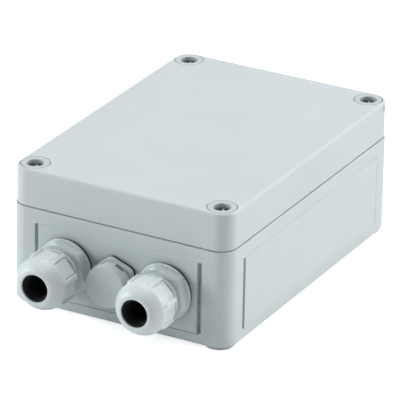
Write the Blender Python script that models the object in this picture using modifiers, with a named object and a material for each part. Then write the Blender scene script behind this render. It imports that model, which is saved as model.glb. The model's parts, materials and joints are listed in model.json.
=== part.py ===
"""An electrical junction box for wall mounting, 112 x 160 x 66.5 mm without its fittings.

A base with a screwed lid, two M20 cable glands and a vent plug in the short front wall, and a
row of screw terminals on a rail inside. All sizes below are in millimetres, and MM turns them
into metres. +X is to the right along the front wall, +Y goes back along the length, +Z is up.
The origin is the centre of the base's underside, and the four feet reach a little below it.
"""

import math

import bmesh
import bpy
from mathutils import Matrix, Vector

MM = 0.001
WELD = 1e-7
GAP = 0.3

# The box
WIDTH, LENGTH = 112.0, 160.0
SEAM, TOP = 46.5, 65.0
FOOT_DROP, FOOT_RADIUS = 1.5, 7.3
CORNER_RADIUS = 8.5
WALL = 3.0
SCREW_X = WIDTH / 2 - 8.4
SCREW_Y = LENGTH / 2 - 8.7
TOWER_RADIUS = 9.0
TOWER_BORE = 4.2
FIXING_RADIUS = 2.25
FIXING_DEPTH = 4.0
ARC_STEPS = 6
SIDES = 24

# The seal between base and lid, as offsets outward from the inner wall
TONGUE = (0.0, 1.2)
TONGUE_HEIGHT = 2.5
GROOVE = (-0.3, 1.5)
GROOVE_TOP = SEAM + 5.5
LID_INSET = 0.45
LID_GAP = 0.4
LID_LIP = -1.8
LID_EDGE = 1.6

# Wall panels and grooves
PANEL_PROUD = 0.45
PANEL_LOW, PANEL_HIGH = 5.2, 39.8
FRONT_GROOVE_X, SIDE_GROOVE_Y = 41.7, 65.3
FRONT_GROOVE_WIDTH, SIDE_GROOVE_WIDTH = 2.1, 1.2
GROOVE_DEPTH = 2.6

# Lid screws, heights above the base's underside
HEAD_RADIUS, HEAD_LOW = 6.7, 56.0
HEAD_BORE = 7.0
RECESS_RADIUS, RECESS_LOW = 4.25, 59.5
CROSS_LENGTH, CROSS_WIDTH, CROSS_DEPTH = 7.6, 1.3, 2.0
NECK_RADIUS, THREAD_RADIUS = 3.0, 3.9
THREAD_TOP, THREAD_LOW = 41.2, 34.5
SEAL_SEAT = 54.0
RETAINER_LOW, RETAINER_HIGH = 47.4, 48.6
RETAINER_RADIUS, RETAINER_POCKET = 5.6, 6.0

# Fittings in the front wall, along their own axes outward from the panel's face
FITTING_Z, VENT_Z = 23.1, 22.2
GLAND_X = 25.3
FACE_Y = -LENGTH / 2 - PANEL_PROUD
GLAND_THREAD, GLAND_HOLE = 9.9, 10.2
GLAND_HEX_TURN, VENT_HEX_TURN = 14.0, 8.7
VENT_THREAD, VENT_HOLE = 5.9, 6.2
WALL_BACK = -WALL - PANEL_PROUD

# Rail and terminals
RAIL_Y, RAIL_LENGTH = 14.0, 92.0
RAIL_LOW, RAIL_TOP = 8.3, 15.8
RAIL_SCREW_X = 39.0
TERMINALS = ("earth_terminal", "terminal_1", "terminal_2", "terminal_3")
TERMINAL_WIDTH, TERMINAL_PITCH = 8.0, 8.4
TERMINAL_TOP = 50.0
CLAMP_Y = 12.0
POCKET_HALF, POCKET_LOW, POCKET_HIGH = 3.0, 25.7, 42.0
CAGE_HALF, CAGE_LOW, CAGE_HIGH, CAGE_DEPTH = 2.7, 26.0, 38.0, 5.4
WINDOW_HALF, WINDOW_LOW, WINDOW_HIGH = 1.9, 27.6, 36.2
CLAMP_HEAD, CLAMP_SHANK = 2.3, 1.3
CLAMP_HEAD_LOW, CLAMP_HEAD_TOP, CLAMP_TIP = 43.3, 46.8, 35.9
BAR_HALF, BAR_LOW, BAR_HIGH = 1.5, 33.6, 35.0
ENTRY_RADIUS, ENTRY_Z = 2.4, 30.6
STOP_WIDTH, END_PLATE_WIDTH = 8.0, 1.6

FACING_FRONT = (math.radians(90), 0, 0)
UPRIGHT = (0, 0, 0)


def clear_scene():
    for old in list(bpy.data.objects):
        bpy.data.objects.remove(old)


def collection(name):
    made = bpy.data.collections.new(name)
    bpy.context.scene.collection.children.link(made)
    return made


def plastic(name, colour, roughness, metallic=0.0):
    made = bpy.data.materials.new(name)
    made.use_nodes = True
    shader = made.node_tree.nodes["Principled BSDF"]
    shader.inputs["Base Color"].default_value = (*colour, 1)
    shader.inputs["Roughness"].default_value = roughness
    shader.inputs["Metallic"].default_value = metallic
    return made


# Shapes


def solid(name, bm, material=None, at=(0, 0, 0), turn=UPRIGHT):
    """The bmesh as a named part, or as a hidden cutter when it has no material."""
    bmesh.ops.recalc_face_normals(bm, faces=bm.faces)
    mesh = bpy.data.meshes.new(name)
    bm.to_mesh(mesh)
    bm.free()
    return place(name, mesh, material, at, turn)


def place(name, mesh, material, at, turn):
    piece = bpy.data.objects.new(name, mesh)
    piece.location = Vector(at) * MM
    piece.rotation_euler = turn
    if material:
        mesh.materials.append(material)
        mesh.shade_smooth()
        mesh.set_sharp_from_angle(angle=math.radians(35))
        PARTS.objects.link(piece)
    else:
        piece.hide_render = True
        piece.display_type = "WIRE"
        CUTTERS.objects.link(piece)
    return piece


def block(low, high):
    low, high = Vector(low) * MM, Vector(high) * MM
    bm = bmesh.new()
    bmesh.ops.create_cube(
        bm, size=1, matrix=Matrix.Translation((low + high) / 2) @ Matrix.Diagonal((*(high - low), 1))
    )
    return bm


def cylinder(radius, low, high, centre=(0, 0), sides=SIDES):
    bm = bmesh.new()
    middle = Vector((*centre, (low + high) / 2)) * MM
    bmesh.ops.create_cone(
        bm, cap_ends=True, segments=sides, radius1=radius * MM, radius2=radius * MM,
        depth=(high - low) * MM, matrix=Matrix.Translation(middle)
    )
    return bm


def prism(outlines, low, high):
    """Flat outlines of (x, y) filled from low to high. An outline inside another is a hole."""
    curve = bpy.data.curves.new("outline", "CURVE")
    curve.dimensions = "2D"
    curve.fill_mode = "BOTH"
    curve.extrude = (high - low) / 2 * MM
    for outline in outlines:
        spline = curve.splines.new("POLY")
        spline.points.add(len(outline) - 1)
        for point, (x, y) in zip(spline.points, outline):
            point.co = (x * MM, y * MM, 0, 1)
        spline.use_cyclic_u = True
    guide = bpy.data.objects.new("outline", curve)
    bpy.context.scene.collection.objects.link(guide)
    graph = bpy.context.evaluated_depsgraph_get()
    mesh = bpy.data.meshes.new_from_object(guide.evaluated_get(graph))
    bm = bmesh.new()
    bm.from_mesh(mesh)
    bpy.data.objects.remove(guide)
    bmesh.ops.remove_doubles(bm, verts=bm.verts, dist=WELD)
    if len(outlines) == 1:
        bmesh.ops.dissolve_limit(bm, angle_limit=math.radians(0.5), verts=bm.verts, edges=bm.edges)
    bmesh.ops.translate(bm, vec=(0, 0, (low + high) / 2 * MM), verts=bm.verts)
    return bm


def turned(name, profile, material=None, at=(0, 0, 0), turn=FACING_FRONT, steps=SIDES):
    """A profile of (radius, height), down its outer side, turned about the piece's own Z axis."""
    bm = bmesh.new()
    points = [bm.verts.new((radius * MM, 0, height * MM)) for radius, height in profile]
    for start, end in zip(points, points[1:]):
        bm.edges.new((start, end))
    if profile[0][0] > 0:
        bm.edges.new((points[-1], points[0]))
    mesh = bpy.data.meshes.new(name)
    bm.to_mesh(mesh)
    bm.free()
    piece = place(name, mesh, material, at, turn)
    screw = piece.modifiers.new("turned", "SCREW")
    screw.steps = steps
    screw.render_steps = steps
    screw.use_merge_vertices = True
    screw.merge_threshold = 1e-6
    return piece


def combine(piece, other, operation="DIFFERENCE"):
    boolean = piece.modifiers.new(other.name, "BOOLEAN")
    boolean.operation = operation
    boolean.object = other


def round_edges(bm, picked, radius, segments=3):
    edges = [edge for edge in bm.edges if picked(edge)]
    bmesh.ops.bevel(
        bm, geom=edges, offset=radius * MM, segments=segments, profile=0.5, affect="EDGES",
        material=-1
    )
    return bm


def at_height(height):
    return lambda edge: all(abs(vert.co.z - height * MM) < WELD for vert in edge.verts)


# Outlines


def arc(centre, radius, start, end, steps=ARC_STEPS):
    angles = [math.radians(start + (end - start) * step / steps) for step in range(steps + 1)]
    return [(centre[0] + radius * math.cos(a), centre[1] + radius * math.sin(a)) for a in angles]


def circle(radius, sides=SIDES):
    return arc((0, 0), radius, 0, 360, sides)[:-1]


def hexagon(across_flats, turned_by=0):
    """Its flats face left and right before it is turned."""
    return arc((0, 0), across_flats / math.sqrt(3), 30 + turned_by, 390 + turned_by, 6)[:-1]


def rounded_rectangle(half_x, half_y, radius):
    quarters = ((1, 1), (-1, 1), (-1, -1), (1, -1))
    outline = []
    for quarter, (side_x, side_y) in enumerate(quarters):
        centre = (side_x * (half_x - radius), side_y * (half_y - radius))
        outline += arc(centre, radius, 90 * quarter, 90 * quarter + 90)
    return outline


def sealing_line(offset):
    """The inner wall's outline moved outward by offset. It passes inside the four screw towers."""
    half_x, half_y = WIDTH / 2 - WALL + offset, LENGTH / 2 - WALL + offset
    radius = TOWER_RADIUS - offset
    reach_x, reach_y = half_x - SCREW_X, half_y - SCREW_Y
    first = math.degrees(math.acos(reach_x / radius))
    last = 90 + math.degrees(math.acos(reach_y / radius))
    corner = arc((SCREW_X, SCREW_Y), radius, -first, last - 360, 8)
    mirrored = [(-x, y) for x, y in reversed(corner)]
    back = [(-x, -y) for x, y in corner]
    front = [(x, -y) for x, y in reversed(corner)]
    return corner + mirrored + back + front


def upright_slot(centre, width, low, high):
    """A slot with round ends, in the plane of a wall."""
    radius = width / 2
    top = arc((centre, high - radius), radius, 0, 180, 4)
    return top + arc((centre, low + radius), radius, 180, 360, 4)


def corners():
    """The four screw places, counted anticlockwise from the front right, seen from above."""
    return [
        (SCREW_X, -SCREW_Y), (SCREW_X, SCREW_Y), (-SCREW_X, SCREW_Y), (-SCREW_X, -SCREW_Y)
    ]


# Enclosure


def in_front_wall(bm):
    """Turns a prism drawn in X and Z, and raised along its own Z, to stand out along -Y."""
    bmesh.ops.rotate(bm, matrix=Matrix.Rotation(math.radians(90), 3, "X"), verts=bm.verts)
    return bm


def in_side_wall(bm, side):
    """Turns a prism drawn in Y and Z to stand out along +X, or along -X when side is -1."""
    in_front_wall(bm)
    bmesh.ops.rotate(bm, matrix=Matrix.Rotation(math.radians(90), 3, "Z"), verts=bm.verts)
    if side < 0:
        bmesh.ops.scale(bm, vec=(-1, 1, 1), verts=bm.verts)
    return bm


def make_base():
    outer = prism([rounded_rectangle(WIDTH / 2, LENGTH / 2, CORNER_RADIUS)], 0, SEAM)
    round_edges(outer, at_height(0), 1.0, 2)
    base = solid("base", outer, SHELL)
    combine(base, solid("inside", prism([sealing_line(0)], WALL, SEAM + 5)))
    tongue = prism([sealing_line(TONGUE[1]), sealing_line(TONGUE[0])], SEAM - 2, SEAM + TONGUE_HEIGHT)
    combine(base, solid("tongue", tongue), "UNION")
    for number, (x, y) in enumerate(corners(), 1):
        foot = cylinder(FOOT_RADIUS, -FOOT_DROP, 2, (x, y))
        combine(base, solid(f"foot_{number}", foot), "UNION")
        bore = cylinder(TOWER_BORE, FIXING_DEPTH, SEAM + 5, (x, y), 16)
        combine(base, solid(f"tower_bore_{number}", bore))
        fixing = cylinder(FIXING_RADIUS, -5, FIXING_DEPTH + 1, (x, y), 16)
        combine(base, solid(f"fixing_{number}", fixing))
    add_panels(base)
    add_rail_bosses(base)
    for name, x, z, radius in (
        ("left", -GLAND_X, FITTING_Z, GLAND_HOLE), ("vent", 0, VENT_Z, VENT_HOLE),
        ("right", GLAND_X, FITTING_Z, GLAND_HOLE)
    ):
        hole = cylinder(radius, -8, 8)
        place_of_hole = (x, FACE_Y, z)
        combine(base, solid(f"hole_{name}", hole, at=place_of_hole, turn=FACING_FRONT))


def add_panels(base):
    """Thin raised panels, each between two upright grooves, on all four walls."""
    for side in (-1, 1):
        for wall, reach, half, width in (
            ("end", LENGTH / 2, FRONT_GROOVE_X, FRONT_GROOVE_WIDTH),
            ("long", WIDTH / 2, SIDE_GROOVE_Y, SIDE_GROOVE_WIDTH),
        ):
            inner = half - width / 2
            outline = [
                (-inner, PANEL_LOW), (inner, PANEL_LOW), (inner, PANEL_HIGH), (-inner, PANEL_HIGH)
            ]
            panel = to_wall(prism([outline], reach - 1, reach + PANEL_PROUD), wall, side)
            combine(base, solid(f"panel_{wall}_{side}", panel), "UNION")
            for end in (-1, 1):
                slot = upright_slot(end * half, width, PANEL_LOW, PANEL_HIGH)
                groove = to_wall(prism([slot], reach - GROOVE_DEPTH, reach + 2), wall, side)
                combine(base, solid(f"groove_{wall}_{side}_{end}", groove))


def to_wall(bm, wall, side):
    if wall == "long":
        return in_side_wall(bm, side)
    in_front_wall(bm)
    if side > 0:
        bmesh.ops.scale(bm, vec=(1, -1, 1), verts=bm.verts)
    return bm


def add_rail_bosses(base):
    for side in (-1, 1):
        centre = (side * RAIL_SCREW_X, RAIL_Y)
        boss = cylinder(4.5, WALL - 1, RAIL_LOW - GAP, centre, 16)
        combine(base, solid(f"boss_{side}", boss), "UNION")
        combine(base, solid(f"boss_bore_{side}", cylinder(2.0, WALL + 0.8, RAIL_LOW + 2, centre, 12)))


def make_lid():
    half_x, half_y = WIDTH / 2 - LID_INSET, LENGTH / 2 - LID_INSET
    under = SEAM + LID_GAP
    outer = prism([rounded_rectangle(half_x, half_y, CORNER_RADIUS - LID_INSET)], under, TOP)
    round_edges(outer, at_height(TOP), LID_EDGE)
    lid = solid("lid", outer, SHELL)
    combine(lid, solid("lid_inside", prism([sealing_line(LID_LIP)], SEAM - 5, TOP - WALL)))
    groove = prism([sealing_line(GROOVE[1]), sealing_line(GROOVE[0])], SEAM - 5, GROOVE_TOP)
    combine(lid, solid("lid_groove", groove))
    for number, (x, y) in enumerate(corners(), 1):
        head = cylinder(HEAD_BORE, SEAL_SEAT, TOP + 5, (x, y))
        combine(lid, solid(f"head_bore_{number}", head))
        neck = cylinder(TOWER_BORE, SEAM - 5, TOP, (x, y), 16)
        combine(lid, solid(f"neck_bore_{number}", neck))
        pocket = cylinder(RETAINER_POCKET, SEAM - 5, RETAINER_HIGH + 0.4, (x, y), 16)
        combine(lid, solid(f"retainer_pocket_{number}", pocket))


def make_lid_gasket():
    ring = prism(
        [sealing_line(TONGUE[1]), sealing_line(TONGUE[0])],
        SEAM + TONGUE_HEIGHT + GAP, GROOVE_TOP - GAP
    )
    solid("lid_gasket", ring, RUBBER)


def make_lid_screw(number, x, y):
    """A hollow-headed captive screw: head, plain neck and a short thread."""
    profile = [
        (0, RECESS_LOW), (RECESS_RADIUS, RECESS_LOW), (RECESS_RADIUS, TOP),
        (HEAD_RADIUS - 0.3, TOP), (HEAD_RADIUS, TOP - 0.3),
        (HEAD_RADIUS, HEAD_LOW), (NECK_RADIUS, HEAD_LOW), (NECK_RADIUS, THREAD_TOP),
        (THREAD_RADIUS, THREAD_TOP), (THREAD_RADIUS, THREAD_LOW + 0.9),
        (NECK_RADIUS, THREAD_LOW), (0, THREAD_LOW),
    ]
    screw = turned(f"lid_screw_{number}", profile, SCREW_GREY, (x, y, 0), UPRIGHT, 20)
    for name, half_x, half_y in (("a", CROSS_LENGTH, CROSS_WIDTH), ("b", CROSS_WIDTH, CROSS_LENGTH)):
        bar = block(
            (-half_x / 2, -half_y / 2, RECESS_LOW - CROSS_DEPTH), (half_x / 2, half_y / 2, RECESS_LOW + 1)
        )
        combine(screw, solid(f"cross_{number}{name}", bar, at=(x, y, 0)))
    seal = [
        (6.4, HEAD_LOW - GAP), (6.4, SEAL_SEAT + GAP), (3.4, SEAL_SEAT + GAP), (3.4, HEAD_LOW - GAP),
    ]
    turned(f"screw_seal_{number}", seal, RUBBER, (x, y, 0), UPRIGHT, 16)
    retainer = [
        (RETAINER_RADIUS, RETAINER_HIGH), (RETAINER_RADIUS, RETAINER_LOW),
        (NECK_RADIUS + GAP, RETAINER_LOW), (NECK_RADIUS + GAP, RETAINER_HIGH),
    ]
    turned(f"screw_retainer_{number}", retainer, NATURAL, (x, y, 0), UPRIGHT, 16)


# Fittings in the front wall


def hex_trim(name, across_flats, low, high, at, turned_by=0):
    """A cutter that leaves a hexagon."""
    return solid(
        name, prism([circle(20), hexagon(across_flats, turned_by)], low, high), at=at, turn=FACING_FRONT
    )


def make_gland(side, x):
    at = (x, FACE_Y, FITTING_Z)
    body = turned(f"gland_body_{side}", [
        (9.6, 21.0), (9.6, 10.3), (11.8, 10.3), (11.8, 9.3), (9.6, 9.3), (9.6, 7.4),
        (12.2, 7.4), (13.4, 6.6), (13.4, 1.6), (GLAND_THREAD, 1.6),
        (GLAND_THREAD, -10.5), (9.2, -11.2), (7.0, -11.2), (7.0, 10.0), (8.2, 10.0), (8.2, 21.0),
    ], GLAND_GREY, at)
    combine(body, hex_trim(f"gland_flats_{side}", 23.6, 3.0, 8.0, at, GLAND_HEX_TURN))
    turned(f"gland_dome_nut_{side}", dome_nut_profile(), GLAND_GREY, at)
    turned(f"gland_seal_insert_{side}", [
        (6.5, 24.6), (7.9, 22.5), (7.9, 10.4), (5.3, 10.4), (5.3, 24.6),
    ], RUBBER, at)
    turned(f"gland_washer_{side}", [
        (12.8, 1.3), (12.8, 0.3), (10.2, 0.3), (10.2, 1.3),
    ], RUBBER, at)
    make_locknut(f"gland_locknut_{side}", 25.4, GLAND_HOLE, 5.0, GLAND_GREY, at)


def dome_nut_profile():
    """A ribbed skirt behind a dome that ends in the cable opening."""
    opening, skirt, front, back = 6.35, 13.6, 29.0, 13.3
    dome = arc((7.2, 19.0), 6.3, 0, 62, 5)
    outer = [(opening, front), (8.0, front), (9.4, front - 0.5)]
    outer += [(radius, 19.0 + (height - 19.0) * 1.45) for radius, height in reversed(dome)]
    outer += [(skirt, 18.4), (skirt, back + 0.6), (skirt - 0.6, back)]
    inner = [(10.0, back), (10.0, 21.8), (opening, 25.4)]
    return outer + inner


def make_locknut(name, across_flats, bore, height, material, at):
    nut = prism([hexagon(across_flats), circle(bore)], WALL_BACK - GAP - height, WALL_BACK - GAP)
    solid(name, nut, material, at, FACING_FRONT)


def make_vent():
    at = (0, FACE_Y, VENT_Z)
    turned("vent_gasket", [(10.9, 1.2), (10.9, 0.3), (6.3, 0.3), (6.3, 1.2)], RUBBER, at)
    body = turned("vent_body", [
        (5.6, 7.0), (5.6, 4.1), (11.1, 4.1), (11.1, 1.5), (VENT_THREAD, 1.5),
        (VENT_THREAD, -8.6), (5.2, -9.3), (3.2, -9.3), (3.2, 7.0),
    ], VENT_GREY, at)
    combine(body, hex_trim("vent_flats", 20.8, 1.0, 5.0, at, VENT_HEX_TURN))
    cap = turned("vent_cap", [
        (0, 10.7), (9.5, 10.7), (10.0, 10.2), (10.0, 4.4), (8.6, 4.4), (8.6, 9.4), (0, 9.4),
    ], VENT_GREY, at)
    for number in range(6):
        slit = block((-2.2, 7.0, 4.9), (2.2, 12.0, 5.9))
        bmesh.ops.rotate(
            slit, matrix=Matrix.Rotation(math.radians(60 * number - 27.5), 3, "Z"), verts=slit.verts
        )
        combine(cap, solid(f"vent_slit_{number}", slit, at=at, turn=FACING_FRONT))
    turned("vent_membrane", [(0, 7.6), (5.2, 7.6), (5.2, 7.3), (0, 7.3)], NATURAL, at)
    make_locknut("vent_locknut", 17.0, VENT_HOLE, 4.0, VENT_GREY, at)


# Rail and terminals


def along_rail(outlines, low, high):
    """Outlines of (y, z), y from the rail's middle, filled between two places along X."""
    bm = prism(outlines, low, high)
    bmesh.ops.rotate(bm, matrix=Matrix(((0, 0, 1), (1, 0, 0), (0, 1, 0))), verts=bm.verts)
    bmesh.ops.translate(bm, vec=(0, RAIL_Y * MM, 0), verts=bm.verts)
    return bm


def mirrored_outline(half):
    return half + [(-y, z) for y, z in reversed(half)]


def make_rail():
    half = [
        (12.5, RAIL_LOW + 1), (12.5, RAIL_TOP), (17.5, RAIL_TOP), (17.5, RAIL_TOP - 1),
        (13.5, RAIL_TOP - 1), (13.5, RAIL_LOW),
    ]
    rail = solid("din_rail", along_rail([mirrored_outline(half)], -RAIL_LENGTH / 2, RAIL_LENGTH / 2), STEEL)
    for number, side in ((1, -1), (2, 1)):
        centre = (side * RAIL_SCREW_X, RAIL_Y)
        combine(rail, solid(f"rail_hole_{number}", cylinder(2.2, RAIL_LOW - 2, RAIL_LOW + 3, centre, 12)))
        low = RAIL_LOW + 1 + GAP
        screw = turned(f"rail_screw_{number}", [
            (0, low + 2.2), (2.6, low + 2.2), (3.6, low + 1.2), (3.6, low), (1.7, low),
            (1.7, WALL + 1.6), (0, WALL + 1.2),
        ], STEEL, (*centre, 0), UPRIGHT, 16)
        slot = block((-2.2, -0.4, low + 1.2), (2.2, 0.4, low + 3))
        combine(screw, solid(f"rail_screw_slot_{number}", slot, at=(*centre, 0)))


def terminal_outline():
    """A housing whose feet hook under the rail's two edges."""
    seat = RAIL_TOP + GAP
    return mirrored_outline([
        (17.9, seat), (17.9, 14.4), (15.4, 14.4), (15.4, 12.4), (19.6, 12.4), (21.0, 14.0),
        (21.0, 36.0), (17.4, 41.5), (17.4, 46.0), (15.4, TERMINAL_TOP),
        (7.6, TERMINAL_TOP), (6.0, 46.5),
    ])


def make_terminal(name, centre, material):
    """A housing with two rising-cage clamps on one current bar."""
    half = TERMINAL_WIDTH / 2
    housing = solid(
        name, along_rail([terminal_outline()], centre - half, centre + half), material
    )
    channel = block(
        (centre - BAR_HALF - GAP, RAIL_Y - CLAMP_Y, BAR_LOW - GAP),
        (centre + BAR_HALF + GAP, RAIL_Y + CLAMP_Y, BAR_HIGH + GAP),
    )
    combine(housing, solid(f"{name}_channel", channel))
    for end, side in (("front", -1), ("back", 1)):
        y = RAIL_Y + side * CLAMP_Y
        hollow_for_clamp(housing, f"{name}_{end}", centre, y, side)
        make_clamp_screw(f"{name}_screw_{end}", centre, y)
        make_cage(f"{name}_cage_{end}", centre, y)
    reach = CLAMP_Y + 2.6
    bar = block(
        (centre - BAR_HALF, RAIL_Y - reach, BAR_LOW), (centre + BAR_HALF, RAIL_Y + reach, BAR_HIGH)
    )
    solid(f"{name}_bar", bar, BRASS)


def hollow_for_clamp(housing, name, x, y, side):
    pocket = block(
        (x - POCKET_HALF, y - POCKET_HALF, POCKET_LOW), (x + POCKET_HALF, y + POCKET_HALF, POCKET_HIGH)
    )
    combine(housing, solid(f"{name}_pocket", pocket))
    throat = cylinder(CLAMP_SHANK + GAP, POCKET_HIGH - 1, CLAMP_HEAD_LOW, (x, y), 12)
    combine(housing, solid(f"{name}_throat", throat))
    bore = cylinder(CLAMP_HEAD + GAP, CLAMP_HEAD_LOW - GAP, TERMINAL_TOP + 2, (x, y), 16)
    combine(housing, solid(f"{name}_bore", bore))
    entry = cylinder(ENTRY_RADIUS, CLAMP_Y, CLAMP_Y + 12, sides=16)
    turn = FACING_FRONT if side < 0 else (-math.pi / 2, 0, 0)
    combine(housing, solid(f"{name}_entry", entry, at=(x, RAIL_Y, ENTRY_Z), turn=turn))


def make_clamp_screw(name, x, y):
    """A slotted screw that turns in place and draws its cage up."""
    screw = turned(name, [
        (0, CLAMP_HEAD_TOP), (CLAMP_HEAD - 0.3, CLAMP_HEAD_TOP), (CLAMP_HEAD, CLAMP_HEAD_TOP - 0.3),
        (CLAMP_HEAD, CLAMP_HEAD_LOW), (CLAMP_SHANK, CLAMP_HEAD_LOW), (CLAMP_SHANK, CLAMP_TIP),
        (0, CLAMP_TIP),
    ], STEEL, (x, y, 0), UPRIGHT, 12)
    slot = block((-3, -0.4, CLAMP_HEAD_TOP - 1.3), (3, 0.4, CLAMP_HEAD_TOP + 1))
    combine(screw, solid(f"{name}_slot", slot, at=(x, y, 0)))


def make_cage(name, x, y):
    """A square frame round the bar's end, with a threaded top for the screw."""
    cage = solid(name, block(
        (-CAGE_HALF, -CAGE_DEPTH / 2, CAGE_LOW), (CAGE_HALF, CAGE_DEPTH / 2, CAGE_HIGH)
    ), STEEL, (x, y, 0))
    window = block((-WINDOW_HALF, -CAGE_DEPTH, WINDOW_LOW), (WINDOW_HALF, CAGE_DEPTH, WINDOW_HIGH))
    combine(cage, solid(f"{name}_window", window, at=(x, y, 0)))
    hole = cylinder(CLAMP_SHANK + GAP, WINDOW_HIGH - 1, CAGE_HIGH + 1, sides=12)
    combine(cage, solid(f"{name}_hole", hole, at=(x, y, 0)))


def make_end_stop(name, centre):
    half = STOP_WIDTH / 2
    seat = RAIL_TOP + GAP
    outline = mirrored_outline([
        (17.9, seat), (17.9, 14.4), (15.4, 14.4), (15.4, 12.4), (19.6, 12.4), (21.0, 14.0),
        (21.0, 24.0), (14.0, 31.0), (6.0, 34.0),
    ])
    solid(name, along_rail([outline], centre - half, centre + half), TERMINAL_GREY)


def make_terminals():
    """From left to right: a stop, the earth terminal, the others, their end plate and a stop."""
    row = len(TERMINALS) * TERMINAL_PITCH
    for number, name in enumerate(TERMINALS):
        centre = (number + 0.5) * TERMINAL_PITCH - row / 2
        make_terminal(name, centre, EARTH_GREEN if number == 0 else TERMINAL_GREY)
    end = row / 2 + GAP
    plate = along_rail([terminal_outline()], end - 0.2, end - 0.2 + END_PLATE_WIDTH)
    solid("terminal_end_plate", plate, TERMINAL_GREY)
    make_end_stop("end_stop_left", -row / 2 - GAP - STOP_WIDTH / 2)
    make_end_stop("end_stop_right", end + END_PLATE_WIDTH + GAP + STOP_WIDTH / 2)


clear_scene()
PARTS = collection("junction_box")
CUTTERS = collection("cutters")
CUTTERS.hide_render = True
SHELL = plastic("shell_grey", (0.66, 0.70, 0.70), 0.5)
SCREW_GREY = plastic("screw_grey", (0.62, 0.66, 0.67), 0.42)
GLAND_GREY = plastic("gland_grey", (0.60, 0.65, 0.67), 0.36)
VENT_GREY = plastic("vent_grey", (0.50, 0.54, 0.55), 0.5)
RUBBER = plastic("seal_black", (0.025, 0.025, 0.027), 0.7)
NATURAL = plastic("natural_white", (0.78, 0.77, 0.72), 0.5)
STEEL = plastic("zinc_steel", (0.62, 0.63, 0.64), 0.34, 1.0)
BRASS = plastic("plated_brass", (0.72, 0.62, 0.38), 0.3, 1.0)
TERMINAL_GREY = plastic("terminal_grey", (0.36, 0.37, 0.37), 0.5)
EARTH_GREEN = plastic("earth_green", (0.09, 0.32, 0.11), 0.5)

make_base()
make_lid()
make_lid_gasket()
for screw_number, (screw_x, screw_y) in enumerate(corners(), 1):
    make_lid_screw(screw_number, screw_x, screw_y)
make_gland("left", -GLAND_X)
make_gland("right", GLAND_X)
make_vent()
make_rail()
make_terminals()
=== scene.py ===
"""Looks for the junction box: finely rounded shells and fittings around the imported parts.

Sizes are in millimetres in the parts' own frame, and MM turns them into metres. What stands in
the front wall is shaped about its own Z axis, upwards, and then turned to point out along -Y.
"""

import json
import math

import bmesh
import bpy
from mathutils import Matrix, Quaternion, Vector

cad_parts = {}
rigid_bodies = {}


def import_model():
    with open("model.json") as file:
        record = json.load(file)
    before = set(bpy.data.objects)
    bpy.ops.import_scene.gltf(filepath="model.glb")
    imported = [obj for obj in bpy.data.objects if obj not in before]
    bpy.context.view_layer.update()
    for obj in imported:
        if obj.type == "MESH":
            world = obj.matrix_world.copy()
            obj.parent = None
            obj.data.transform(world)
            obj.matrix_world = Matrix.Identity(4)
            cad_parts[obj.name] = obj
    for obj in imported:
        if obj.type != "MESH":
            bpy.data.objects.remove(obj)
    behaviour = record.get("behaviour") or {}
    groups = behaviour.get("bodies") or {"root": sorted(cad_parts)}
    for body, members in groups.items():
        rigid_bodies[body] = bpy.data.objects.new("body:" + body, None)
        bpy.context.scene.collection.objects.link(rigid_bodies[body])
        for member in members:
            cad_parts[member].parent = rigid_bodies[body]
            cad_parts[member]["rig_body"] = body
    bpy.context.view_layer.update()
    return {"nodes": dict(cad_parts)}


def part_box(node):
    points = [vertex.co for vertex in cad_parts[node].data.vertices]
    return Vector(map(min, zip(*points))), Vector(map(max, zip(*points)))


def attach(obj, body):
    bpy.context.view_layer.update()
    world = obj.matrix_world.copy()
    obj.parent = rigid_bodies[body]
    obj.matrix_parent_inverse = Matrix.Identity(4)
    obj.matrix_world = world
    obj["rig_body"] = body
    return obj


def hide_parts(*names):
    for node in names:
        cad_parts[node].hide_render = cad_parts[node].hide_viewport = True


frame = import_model()

MM = 0.001
WELD = 1e-7
SAME_PLACE = 1e-6
SAME_DIRECTION = 0.999
SHARP_ANGLE = 32
ROUND_STEPS, SMALL_STEPS = 96, 48
BEYOND = 100.0


def low_high(node):
    low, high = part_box(node)
    return low / MM, high / MM


def middle(node):
    low, high = low_high(node)
    return (low + high) / 2


BASE_LOW, BASE_HIGH = low_high("base")
LID_LOW, LID_HIGH = low_high("lid")
CORNERS = [middle(f"lid_screw_{number}") for number in (1, 2, 3, 4)]

# The box
PANEL_PROUD = 0.45
HALF_X, HALF_Y = BASE_HIGH.x - PANEL_PROUD, BASE_HIGH.y - PANEL_PROUD
FOOT_LOW = BASE_LOW.z
TONGUE_HEIGHT = 2.5
SEAM = BASE_HIGH.z - TONGUE_HEIGHT
LID_UNDER, LID_TOP = LID_LOW.z, LID_HIGH.z
CORNER_RADIUS, LID_INSET = 8.5, HALF_X - LID_HIGH.x
WALL = 3.0
TOWER_RADIUS, TOWER_BORE = 9.0, 4.2
LID_EDGE = 1.6
PANEL_LOW, PANEL_HIGH = 5.2, 39.8
END_GROOVE, LONG_GROOVE = 41.7, 65.3
END_GROOVE_WIDTH, LONG_GROOVE_WIDTH = 2.1, 1.2
GROOVE_DEPTH = 2.6
LINE_HEIGHT, LINE_DEPTH = 0.5, 1.0
RAIL_SCREW_X = middle("rail_screw_2").x
SCREW_HEAD_UNDER = 56.0
SCREW_PITCH = 1.9
RIB_TURN = 16.0

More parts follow.
